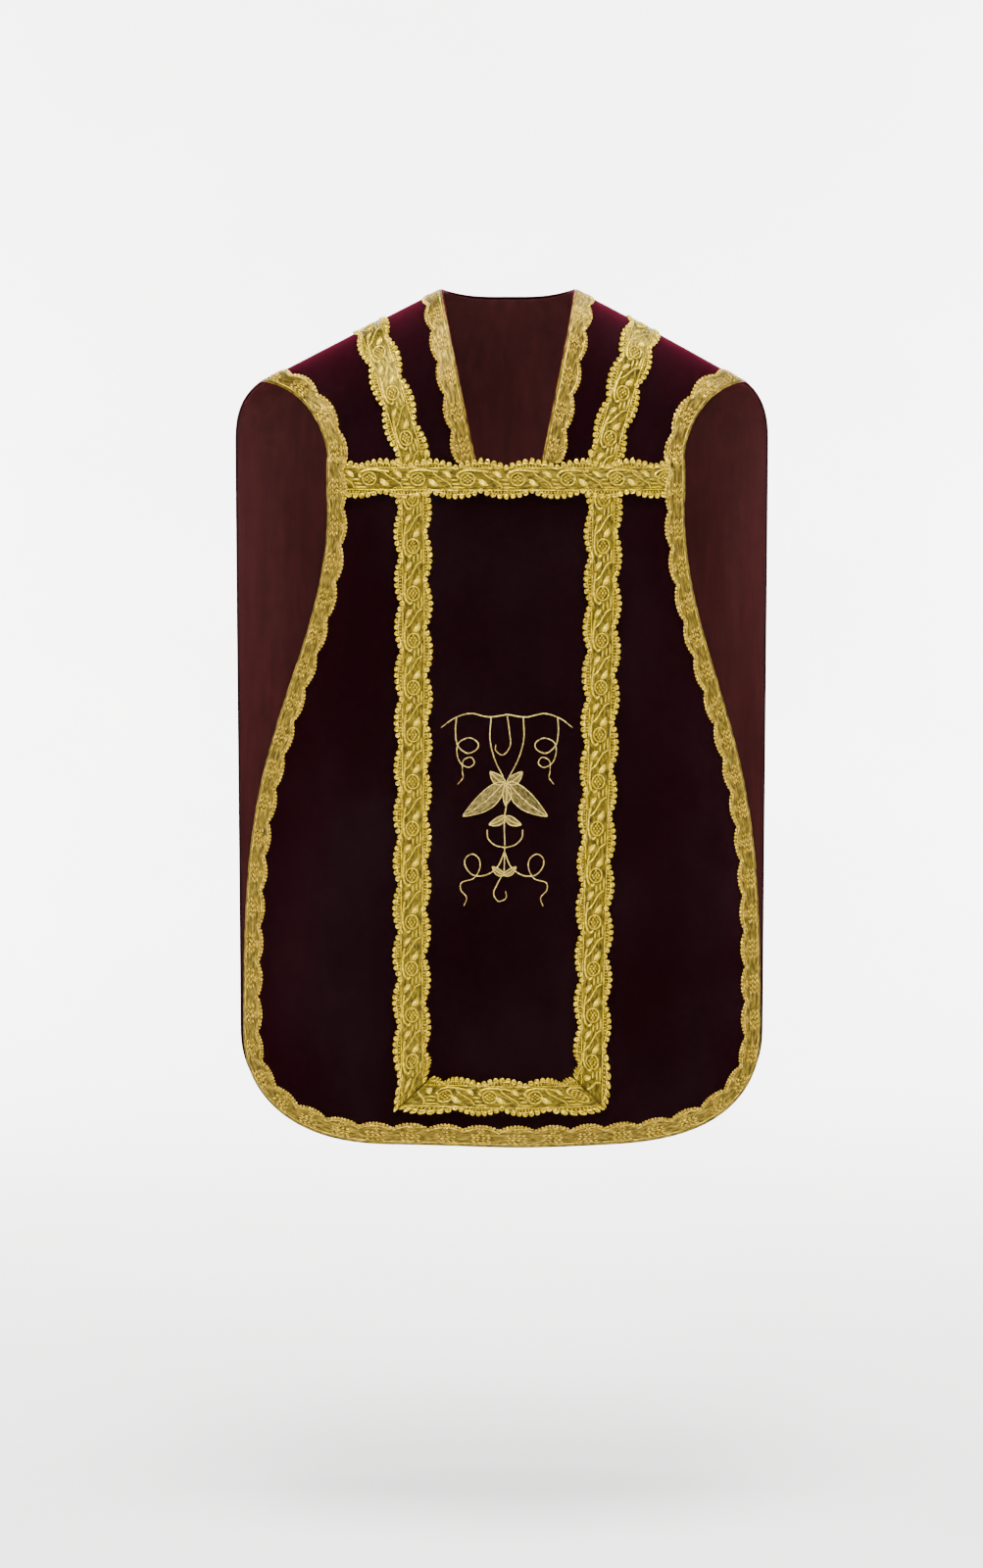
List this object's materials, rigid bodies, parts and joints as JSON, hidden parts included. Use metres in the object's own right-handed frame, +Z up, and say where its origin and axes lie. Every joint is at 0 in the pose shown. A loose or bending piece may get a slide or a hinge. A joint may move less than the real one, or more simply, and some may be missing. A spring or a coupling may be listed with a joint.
{
  "type": "roman chasuble",
  "caption": "Fiddle-shaped velvet chasuble with open sides, joined at the shoulders, with gold galloon edges and a braided column",
  "frame": {"origin": "on the shoulder seam's level at the neck points, midway between them, where the shoulders carry the cloth", "axes": "+Z up, -Y out of the front, +X to the right of someone who looks at the front"},
  "size_m": [0.652, 0.2826, 1.0463],
  "materials": {
    "velvet": "dark burgundy silk velvet, nearly black face on",
    "lining": "brownish red sateen",
    "galloon": "woven gold thread with a scalloped edge",
    "braid": "pale gold thread braid with both edges lobed"
  },
  "bodies": {
    "root": {"front_panel": "velvet", "front_lining": "lining", "back_panel": "velvet", "back_lining": "lining", "front_border_galloon": "galloon", "back_border_galloon": "galloon", "front_band": "braid", "front_shoulder_braid_left": "braid", "front_shoulder_braid_right": "braid", "front_column_braid_left": "braid", "front_column_braid_right": "braid", "front_column_braid_foot": "braid", "back_column_braid_left": "braid", "back_column_braid_right": "braid", "back_column_braid_foot": "braid", "neck_galloon_left": "galloon", "neck_galloon_right": "galloon", "neck_galloon_back": "galloon"}
  },
  "joints": []
}
